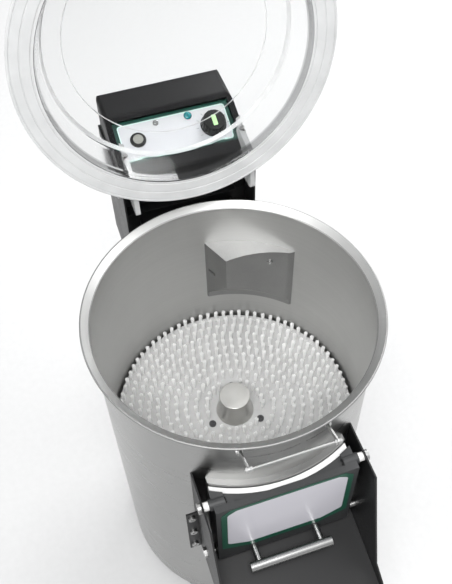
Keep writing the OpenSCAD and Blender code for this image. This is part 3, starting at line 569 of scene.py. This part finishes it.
def edge_highlight_finish():
    """Milky white on the clear moulding's shoulder rings: a painted highlight."""
    f = Finish("lid_edge_painted_highlight", trans=0.35, ior=1.45, rough=0.25)
    n = f.noise((60, 60, 60), 3.0, 0.5)
    return f.out(f.ramp(f.span(n, 0.3, 0.7), [(0.0, (0.72, 0.725, 0.725)), (1.0, (0.84, 0.845, 0.845))]), None, f.bump(n, 0.1, 0.3))


edge_highlight_mat = edge_highlight_finish()


def arm_finish():
    """Clear moulding gone grey and scratched on the arms."""
    f = Finish("lid_arm", trans=0.55, ior=1.40, rough=0.2)
    n = f.noise((80, 80, 80), 3.0, 0.5)
    return f.out(f.ramp(f.span(n, 0.3, 0.7), [(0.0, (0.82, 0.825, 0.825)), (1.0, (0.92, 0.925, 0.925))]), None, f.bump(n, 0.1, 0.3))


arm_mat = arm_finish()
label_green = film("label_green", (0.008, 0.078, 0.046))
label_field = film("label_field", (0.60, 0.59, 0.635))
panel_green = film("panel_green", (0.008, 0.070, 0.050))
panel_mint = film("panel_mint", (0.62, 0.86, 0.78))
panel_field = film("panel_field", (0.60, 0.61, 0.63))
lamp_c = lamp_finish("lamp_clear", (0.78, 0.80, 0.79), 0.02)
lamp_t = lamp_finish("lamp_teal", (0.0, 0.20, 0.22), 0.12, 0.15)
button_silver = brushed("button_silver", (700, 700, 700), tone=0.36, rough=0.45, warm=0.06, patch=(120, 120, 120))


# ------------------------------------------------------------------ drum
wall_pts = [(RI, 24.0), (RI, RZ - 6.7), (172.9, RZ - 1.1)]
under_pts = [(RW, RZ - 7.2), (RW, 24.0)]
inner = rounded([(RI, 24.0), (RI, RZ - 6.6), (173.0, RZ - 0.66)], [0, 3.2, 0], 8, closed=False)
hem = arc(173.65, RZ - 1.35, 1.35, 118, -122, 22)
outer = rounded([hem[-1], (RW, RZ - 7.3), (RW, 24.0)], [0, 4.2, 0], 8, closed=False)
prof = inner[:-1] + hem + outer[1:]
drum = to_object(lathe_bm(prof, 288), "drum_shell_v")


def slab_pts(w, h, r):
    return rounded([(-w / 2, 0), (w / 2, 0), (w / 2, h), (-w / 2, h)], r, 10)


def stand_y(y, z):
    """Local XY to XZ, local +Z to -Y... places an outline upright, facing the front."""
    return Matrix.Translation((0, y, z)) @ Matrix.Rotation(radians(90), 4, "X")


cuts = [prism_bm(slab_pts(144, 116, 14), 0, 40, stand_y(-RW + 20, FZ + 32))]
cuts.append(lathe_bm([(0, 0), (20.3, 0), (20.3, 80), (0, 80)], 72, Matrix.Translation((-85, 100, FZ - 38)) @ Matrix.Rotation(radians(-90), 4, "X")))
cuts.append(lathe_bm([(0, 0), (6.6, 0), (6.6, 30), (0, 30)], 48, Matrix.Translation((45, 140, RZ - 96)) @ Matrix.Rotation(radians(-90), 4, "X")))
cuts.append(lathe_bm([(0, 0), (11, 0), (11, 30), (0, 30)], 48, Matrix.Translation((0, 150, 86)) @ Matrix.Rotation(radians(-90), 4, "X")))
for a in range(-5, 6):
    slot = prism_bm(rounded([(-2, 140), (2, 140), (2, 180), (-2, 180)], 1.95, 6), 0, 16,
                    Matrix.Rotation(radians(a * 7), 4, "Z") @ Matrix.Translation((0, RW + 8, 0)) @ Matrix.Rotation(radians(90), 4, "X"))
    cuts.append(slot)
boolean(drum, cuts)
soften(drum, 0.0, sharp=34)
place(drum, "machine", "stainless_sheet", [drum_steel, outer_steel_painted_shade, hem_steel_painted_shade, rim_steel_painted_shade], "drum_shell")
# Sorts the drum faces into the outer wall, hem and rim flare copies that carry the painted shade.
for face in drum.data.polygons:
    c = face.center * 1000.0
    away = hypot(c.x, c.y)
    if c.z < RZ - 7.6 and away > RW - 0.45:
        face.material_index = 1
    elif away > 173.0 or (away > RW - 0.3 and c.z < RZ - 3.0):
        face.material_index = 2
    elif c.z > RZ - 6.0:
        face.material_index = 3

# ------------------------------------------------------------------ brush plate and bristles
plate_prof = rounded([(9.95, FZ + 20), (160, FZ + 20), (160, PZ), (9.95, PZ)], [0, 1.2, 1.6, 0], 5)
plate = to_object(lathe_bm(plate_prof, 220), "brush_plate_v")
soften(plate, 0.0, sharp=34)
place(plate, "brush", "white_plastic", plate_mat, "brush_plate")

SCREWS = (-41.6, 78.4, 198.4)
RINGS = [(153.4, 83), (141.0, 76), (128.7, 70), (116.3, 63), (104.0, 56), (91.6, 50), (79.2, 43), (66.5, 36), (52.5, 28), (37.7, 24)]


def bristles():
    rnd = random.Random(7)
    bm = bmesh.new()
    spots = [(0.0, 0.0)]
    spots += [(0.92 * cos(k * pi / 3), 0.92 * sin(k * pi / 3)) for k in range(6)]
    spots += [(1.83 * cos((k + 0.5) * pi / 6), 1.83 * sin((k + 0.5) * pi / 6)) for k in range(12)]
    for ring, (radius, count) in enumerate(RINGS):
        start = rnd.uniform(0, 360)
        for i in range(count):
            a = radians(start + 360.0 * i / count + rnd.uniform(-0.25, 0.25) * 50 / radius)
            if ring == len(RINGS) - 1 and min(abs((math.degrees(a) - s + 180) % 360 - 180) for s in SCREWS) < 13.5:
                continue
            r = radius + rnd.uniform(-0.35, 0.35)
            cx, cy = r * cos(a), r * sin(a)
            lean = rnd.uniform(-0.5, 1.1)
            side = rnd.uniform(-0.9, 0.9)
            lx, ly = lean * cos(a) - side * sin(a), lean * sin(a) + side * cos(a)
            twist = rnd.uniform(0, pi)
            top = 18.5 - rnd.uniform(0.0, 0.5)
            for sx, sy in spots:
                px = sx * cos(twist) - sy * sin(twist) + rnd.uniform(-0.06, 0.06)
                py = sx * sin(twist) + sy * cos(twist) + rnd.uniform(-0.06, 0.06)
                ox, oy = rnd.uniform(-0.22, 0.22), rnd.uniform(-0.22, 0.22)
                h = top - rnd.uniform(0, 0.55)
                rings = []
                for t, grow in ((0.0, 0.78), (0.5, 0.97), (0.93, 1.22), (1.0, 1.22)):
                    x = cx + px * grow + (lx + ox) * t * t
                    y = cy + py * grow + (ly + oy) * t * t
                    rad = 0.52 if t < 1.0 else 0.26
                    z = PZ - 0.2 + (h + 0.2) * t
                    rings.append([bm.verts.new((x + rad * cos(k * 2 * pi / 5 + twist), y + rad * sin(k * 2 * pi / 5 + twist), z)) for k in range(5)])
                for lo, hi in zip(rings, rings[1:]):
                    for k in range(5):
                        q = (k + 1) % 5
                        bm.faces.new((lo[k], lo[q], hi[q], hi[k]))
                bm.faces.new(rings[-1])
                bm.faces.new(rings[0][::-1])
    return bm


tufts = to_object(bristles(), "brush_tufts_v")
smooth(tufts, 50)
place(tufts, "brush", "white_plastic", tuft_mat, "brush_tufts")

# hub with a flared foot
hub_rb, hub_rt, hub_h = 25.3, 20.7, 38.0
side = [(hub_rt - 0.6 + (hub_rb - hub_rt + 0.6) * (1 - t) ** 2.2, PZ + 0.8 + (hub_h - 4) * t) for t in [i / 24 for i in range(1, 25)]]
hub_prof = [(0, PZ), (hub_rb - 0.8, PZ), (hub_rb - 0.2, PZ + 0.15), (hub_rb, PZ + 0.8)] + side[:-1] \
    + rounded([side[-1], (hub_rt, PZ + hub_h - 2.6), (hub_rt, PZ + hub_h), (0, PZ + hub_h)], [0, 1.0, 1.3, 0], 6, closed=False)
hub = to_object(lathe_bm(hub_prof, 160), "hub_knob_v")
soften(hub, 0.0, sharp=40)
place(hub, "brush", "satin_aluminium", hub_mat, "hub_knob")
refine("plate_screws", "black_screws", black_screw, 0.35, 3)
refine("brush_carrier", "satin_aluminium", deflector_mat, 0.5)

# ------------------------------------------------------------------ fittings inside the drum
refine("wall_deflector", "satin_aluminium", deflector_mat, 0.9, 3, angle=28, flat=0.8)
refine("body_screws", "zinc_steel", bright, 0.3, 2)
refine("water_inlet_pipe", "brass_pipe", brass, 0.4)
refine("drain_pipe", "stainless_sheet", flat_steel, 0.4)
refine("tank_floor", "stainless_sheet", flat_steel, 0.3)

# ------------------------------------------------------------------ base and drive
refine("base_plate", "stainless_sheet", flat_steel, 0.4)
refine("rubber_feet", "foot_rubber", rubber, 0.8, 3)
refine("foot_bolts", "zinc_steel", zinc, 0.4)
refine("bearing_housing", "grey_casting", casting, 1.0, 3)
refine("shaft_bearings", "bearing_steel", bearing, 0.3)
refine("shaft_seal", "seal_rubber", seal_rubber, 0.3)
refine("drive_shaft", "bearing_steel", bearing, 0.3)
refine("driven_pulley", "grey_casting", casting, 0.4)
refine("motor_pulley", "grey_casting", casting, 0.4)
refine("drive_belt", "seal_rubber", belt_rubber, 0.4)
refine("motor_body", "motor_paint", motor_paint, 0.6)
refine("motor_plate", "stainless_sheet", flat_steel, 0.4)
refine("drive_fixings", "zinc_steel", zinc, 0.3)
refine("run_capacitor", "capacitor_plastic", cap_plastic, 0.6)

# ------------------------------------------------------------------ discharge
# The opening frame takes the darkened stainless, which is painted shade.
refine("opening_frame", "stainless_sheet", frame_steel_painted_shade, 0.5)
refine("chute_cheeks", "black_sheet", black_sheet, 0.5)
refine("chute_floor", "black_sheet", black_sheet, 0.4)
refine("door_body", "door_grey", door_grey, 1.2, 3)
refine("door_seal", "white_plastic", seal_white, 0.8, 3)
refine("door_pull", "zinc_steel", bright, 0.8, 3)
refine("door_bushes", "white_plastic", white_plastic, 0.3)
refine("door_pivots", "zinc_steel", zinc, 0.4)
refine("catch_plungers", "zinc_steel", zinc, 0.3)

LABEL = [(-67.4, RZ - 95.5), (67.4, RZ - 95.5), (78.4, RZ - 104.5), (79, RZ - 201), (44, RZ - 214.5), (-44, RZ - 214.5), (-79, RZ - 201), (-78.4, RZ - 104.5)]
FIELD = [(-60.5, RZ - 99.5), (60.5, RZ - 99.5), (71.5, RZ - 107), (72.0, RZ - 190), (46, RZ - 203), (-46, RZ - 203), (-72.0, RZ - 190), (-71.5, RZ - 107)]
face = Matrix.Translation((0, -188, 0)) @ Matrix.Rotation(radians(90), 4, "X")
label = to_object(prism_bm(rounded(LABEL, 3.0, 8), 0, 0.6, face), "door_label_edge")
soften(label, 0.15, 2)
place(label, "door", "door_label", label_green, "door_label")
field = to_object(prism_bm(rounded(FIELD, 6.0, 10), 0.5, 0.78, face), "door_label_field")
soften(field, 0.08, 2)
place(field, "door", "door_label", label_field)

# ------------------------------------------------------------------ bail
refine("bail_lugs", "stainless_sheet", lug_steel, 0.3)
refine("bail_arms", "zinc_steel", zinc, 0.3)
refine("bail_rod", "bright_steel", bright, 0.35, 3)
refine("bail_nuts", "zinc_steel", zinc, 0.25)

# ------------------------------------------------------------------ lid
L0 = RZ + 1
def groove(r, w, d):
    return [(r, L0), (r + 0.25, L0 + d), (r + w - 0.25, L0 + d), (r + w, L0)]


flange_under = [(147.6, L0)] + groove(150.2, 1.6, 0.8) + groove(161.2, 1.5, 0.55) + groove(171.3, 1.2, 0.6)
lid_prof = [(175, L0), (175, L0 + 3), (152.6, L0 + 3), (150.6, L0 + 4.2), (149.4, L0 + 6), (148.09, L0 + 11), (141, L0 + 38), (138.6, L0 + 43.4), (134.6, L0 + 47), (117.4, L0 + 53),
            (114.3, L0 + 53.8), (113, L0 + 54), (0, L0 + 54), (0, L0 + 51), (113, L0 + 51), (116.4, L0 + 50.2), (133, L0 + 44.4), (135.8, L0 + 41.8), (137.8, L0 + 38), (144.79, L0 + 11), (146.6, L0 + 4)] + flange_under
lid_rad = [1.2, 1.2, 1.5, 1.5, 2, 0, 4, 3, 3, 2, 0, 1, 0, 0, 2, 2, 3, 2.5, 4, 0, 1.5, 0.9] + [0.2] * 12
turn = Matrix.Translation((0, HY, HZ)) @ Matrix.Rotation(radians(-100), 4, "X") @ Matrix.Translation((0, -HY, -HZ))
lid = to_object(lathe_bm(rounded(lid_prof, lid_rad, 5), 256, turn), "lid_dome_v")
soften(lid, 0.0, sharp=60)
place(lid, "lid", "clear_lid", [lid_mat, flange_mat, wall_mat, edge_highlight_mat, root_shade_mat], "lid_dome")
back_turn = turn.inverted()
for face in lid.data.polygons:
    c = back_turn @ (face.center * 1000.0)
    away = hypot(c.x, c.y)
    if c.z < L0 + 3.6 and away > 148.2:
        face.material_index = 1
    # The two shoulder rings take the milky white finish, which is a painted highlight.
    elif (134.9 < away < 138.9 and L0 + 43.0 < c.z) or (112.9 < away < 114.6 and L0 + 53.2 < c.z):
        face.material_index = 3
    elif away > 137.0:
        # The wall's lower band takes the dark tint, which is painted shade.
        face.material_index = 4 if c.z < L0 + 11.0 else 2
refine("lid_arms", "clear_lid", arm_mat, 0.6, 3)
refine("lid_screws", "zinc_steel", bright, 0.35, 2)
refine("lid_front_catch", "black_plastic", black_plastic, 0.6, 3)
refine("hinge_pins", "zinc_steel", zinc, 0.4)
refine("hinge_bushes", "white_plastic", white_plastic, 0.4)
refine("lid_stop_pads", "foot_rubber", rubber, 0.5)
refine("lid_sensor", "black_plastic", black_plastic, 0.5)

# ------------------------------------------------------------------ rear housing
refine("rear_housing", "black_sheet", black_sheet, 0.6)
refine("housing_rear_cover", "black_sheet", black_sheet, 0.5)
refine("cable_duct", "black_sheet", black_sheet, 0.6)
refine("cable_gland", "black_plastic", dark_plastic, 0.4)

# ------------------------------------------------------------------ control box
bm = bmesh.new()
bm.from_mesh(nodes["control_box_shell"].data)
clean_bm(bm, flat=0.8)
box = to_object(bm, "control_box_shell_v", scale=False)
boolean(box, [prism_bm(rounded(rect(-80.3, 100, 80.3, 293.3), [0, 0, 8.5, 8.5], 10), RZ - 60, RZ + 160),
              prism_bm(rounded(rect(-80.4, RZ - 60, 80.4, RZ + 107.6), [0, 0, 7.5, 7.5], 10), -330, -90, Matrix.Rotation(radians(90), 4, "X"))], "INTERSECT")
soften(box, 1.3, 4, 24)
place(box, "machine", "black_plastic", black_plastic, "control_box_shell")
refine("timer_body", "black_plastic", dark_plastic, 0.5)
refine("button_bezel", "black_plastic", dark_plastic, 0.5, 3)


def on_panel(x=0.0, s=0.0, d=0.0):
    return Matrix.Translation((0, PY0, PZ0)) @ Matrix.Rotation(radians(PA), 4, "X") @ Matrix.Translation((x, -s, d))


def round_rect(x0, s0, x1, s1, r):
    return rounded(rect(x0, -s1, x1, -s0), r, 8)


refine("control_panel", "panel_label", panel_green, 0.3)


def with_holes(o):
    boolean(o, [prism_bm(circle_pts(-46.5, -24.5, 8.05), -3, 3, on_panel()), prism_bm(circle_pts(47, -27.5, 3.4), -3, 3, on_panel()),
                prism_bm(circle_pts(-20.2, -7.7, 2.85), -3, 3, on_panel()), prism_bm(circle_pts(20.2, -7.7, 4.15), -3, 3, on_panel())])
    soften(o, 0.0)
    return o


mint = to_object(prism_bm(round_rect(-67.6, 1.6, 67.6, 50.2, 4.0), -0.05, 0.10, on_panel()), "panel_mint_line")
place(with_holes(mint), "machine", "panel_label", panel_mint)
white = to_object(prism_bm(round_rect(-66.4, 2.8, 66.4, 49.0, 3.4), 0.0, 0.18, on_panel()), "panel_white_field")
place(with_holes(white), "machine", "panel_label", panel_field)
bm = bmesh.new()
for k in range(-5, 6):
    a = radians(k * 30)
    m = on_panel(47, 27.5) @ Matrix.Rotation(-a, 4, "Z")
    part = prism_bm(rounded(rect(-0.45, 18.0, 0.45, 21.2), 0.3, 3), 0.1, 0.26, m)
    tmp = bpy.data.meshes.new("t")
    part.to_mesh(tmp)
    part.free()
    bm.from_mesh(tmp)
    bpy.data.meshes.remove(tmp)
ticks = to_object(bm, "dial_ticks")
place(ticks, "machine", "panel_label", tick_grey)


# timer knob: skirt, fluted grip, pointer slot
def knob():
    prof = rounded([(0, 1), (16, 1), (16, 3.2), (0, 3.2)], [0, 0.5, 0.9, 0], 5)
    skirt = to_object(lathe_bm(prof, 144, on_panel(47, 27.5)), "timer_knob_v")
    bm = bmesh.new()
    segs = 216
    rows = [(3.0, 0.0, 0.0), (3.4, 0.0, 0.7), (4.8, 0.0, 1.0), (12.0, 0.0, 1.0), (13.2, 0.15, 0.75), (14.1, 0.5, 0.3), (14.7, 1.0, 0.0), (15.0, 1.9, 0.0)]
    loops = []
    for z, inset, flute in rows:
        base = 14.3 - 0.9 * (z - 3.4) / 11.6
        loop = []
        for k in range(segs):
            a = 2 * pi * k / segs
            bite = max(0.0, cos(a * 18)) ** 1.6 * 0.85 * flute
            r = base + 0.55 - inset - bite
            loop.append(bm.verts.new((r * cos(a), r * sin(a), z)))
        loops.append(loop)
    for lo, hi in zip(loops, loops[1:]):
        for k in range(segs):
            q = (k + 1) % segs
            bm.faces.new((lo[k], lo[q], hi[q], hi[k]))
    for r, z in ((11.0, 15.0), (10.5, 14.75)):
        loop = [bm.verts.new((r * cos(2 * pi * k / segs), r * sin(2 * pi * k / segs), z)) for k in range(segs)]
        lo = loops[-1]
        for k in range(segs):
            q = (k + 1) % segs
            bm.faces.new((lo[k], lo[q], loop[q], loop[k]))
        loops.append(loop)
    bm.faces.new(loops[-1])
    bm.faces.new(loops[0][::-1])
    bmesh.ops.recalc_face_normals(bm, faces=bm.faces)
    bm.transform(on_panel(47, 27.5))
    boolean(skirt, [bm], "UNION")
    boolean(skirt, [lathe_bm([(0, -14), (3, -14), (3, 3), (0, 3)], 48, on_panel(47, 27.5))], "UNION")
    boolean(skirt, [prism_bm(rounded(rect(-2.9, -8.0, 2.9, 6.6), 0.9, 4), 14.1, 17, on_panel(47, 27.5))])
    soften(skirt, 0.0, sharp=36)
    return skirt


place(knob(), "knob", "black_plastic", knob_plastic, "timer_knob")
pointer = to_object(prism_bm(rounded(rect(-2.7, -7.8, 2.7, 6.4), 0.9, 5), 14.1, 15.35, on_panel(47, 27.5)), "knob_pointer_v")
soften(pointer, 0.35, 3)
place(pointer, "knob", "pointer_green", pointer_green, "knob_pointer")

# push button
bp = rounded([(0, -12), (3, -12), (3, -1), (6.2, -1), (6.2, 3.4), (4.7, 3.4), (4.7, 2.9), (3.6, 2.9), (3.6, 3.25), (0, 3.25)],
             [0, 0.4, 0, 0.4, 0.6, 0.15, 0.15, 0.15, 0.15, 0], 4)
button = to_object(lathe_bm(bp, 96, on_panel(-46.5, 24.5)), "push_button_v")
soften(button, 0.0, sharp=36)
place(button, "button", "button_silver", button_silver, "push_button")
ring = to_object(lathe_bm(rounded([(8.9, 0.1), (9.75, 0.1), (9.75, 1.0), (8.9, 1.15)], 0.25, 4), 96, on_panel(-46.5, 24.5)), "button_ring")
soften(ring, 0.0, sharp=50)
place(ring, "machine", "button_silver", button_silver)

for node, x, s, r, mat in (("lamp_clear", -20.2, 7.7, 3.7, lamp_c), ("lamp_teal", 20.2, 7.7, 5.0, lamp_t)):
    dome = [(r * cos(radians(t)), 1.0 + (r * 0.41) * sin(radians(t))) for t in range(0, 90, 9)]
    prof = [(0, -14), (r - 0.9, -14), (r - 0.9, 0), (r, 0)] + dome + [(0, 1.0 + r * 0.41)]
    lens = to_object(lathe_bm(prof, 72, on_panel(x, s)), node + "_v")
    soften(lens, 0.0, sharp=50)
    place(lens, "machine", node, mat, node)

# ------------------------------------------------------------------ floor, light, camera
floor = to_object(prism_bm(rect(-9000, -9000, 9000, 9000), -20, -0.1), "floor")
ff = Finish("floor_paper", spec=0.2)
fg = ff.noise((90, 90, 90), 3.0, 0.6)
ff.set(rough=0.85)
floor.data.materials.append(ff.out(ff.ramp(ff.span(fg, 0.3, 0.7), [(0.0, (0.51, 0.51, 0.51)), (1.0, (0.53, 0.53, 0.53))]), None, ff.bump(fg, 0.02, 0.2)))

world = bpy.data.worlds.new("studio")
bpy.context.scene.world = world
world.use_nodes = True
bg = world.node_tree.nodes["Background"]
bg.inputs[1].default_value = 1.0
wn = world.node_tree
sky = wn.nodes.new("ShaderNodeTexCoord")
part = wn.nodes.new("ShaderNodeSeparateXYZ")
fade = wn.nodes.new("ShaderNodeValToRGB")
wn.links.new(sky.outputs["Generated"], part.inputs[0])
wn.links.new(part.outputs[2], fade.inputs[0])
wn.links.new(fade.outputs[0], bg.inputs[0])
fade.color_ramp.elements[0].position = 0.0
fade.color_ramp.elements[0].color = (0.42, 0.42, 0.43, 1)
fade.color_ramp.elements[1].position = 0.85
fade.color_ramp.elements[1].color = (1.05, 1.06, 1.07, 1)


def softbox(name, at, aim, size, power, size_y=None):
    d = bpy.data.lights.new(name, "AREA")
    d.shape = "ELLIPSE"
    d.size = size
    d.size_y = size_y or size
    d.energy = power
    o = bpy.data.objects.new(name, d)
    o.location = at
    o.rotation_euler = (Vector(aim) - Vector(at)).to_track_quat("-Z", "Y").to_euler()
    bpy.context.scene.collection.objects.link(o)
    return o


softbox("key_back", (1.15, 1.48, 1.90), (-0.05, 0.15, 0.5), 1.1, 42, 1.1)
softbox("side_right", (1.7, -0.4, 1.9), (0, 0, 0.4), 1.2, 16, 1.2)
softbox("fill_left", (-1.7, -1.0, 2.1), (0, 0, 0.4), 1.3, 18, 1.3)
softbox("over", (-0.45, -1.0, 2.65), (0, 0, 0.4), 1.1, 44, 1.1)

cam_data = bpy.data.cameras.new("camera")
cam_data.lens = 49.02
cam_data.sensor_width = 36.0
cam_data.sensor_fit = "AUTO"
cam_data.clip_start = 0.01
cam_data.clip_end = 50
cam = bpy.data.objects.new("camera", cam_data)
bpy.context.scene.collection.objects.link(cam)
right = Vector((0.9489, -0.3150, -0.0189)).normalized()
up = Vector((0.2604, 0.7479, 0.6106))
back = Vector((-0.1782, -0.5843, 0.7917)).normalized()
up = back.cross(right).normalized()
right = up.cross(back).normalized()
m = Matrix((right, up, back)).transposed().to_4x4()
m.translation = Vector((-0.1636, -0.5116, 1.2492))
cam.matrix_world = m
bpy.context.scene.camera = cam
bpy.context.scene.view_settings.view_transform = "Standard"
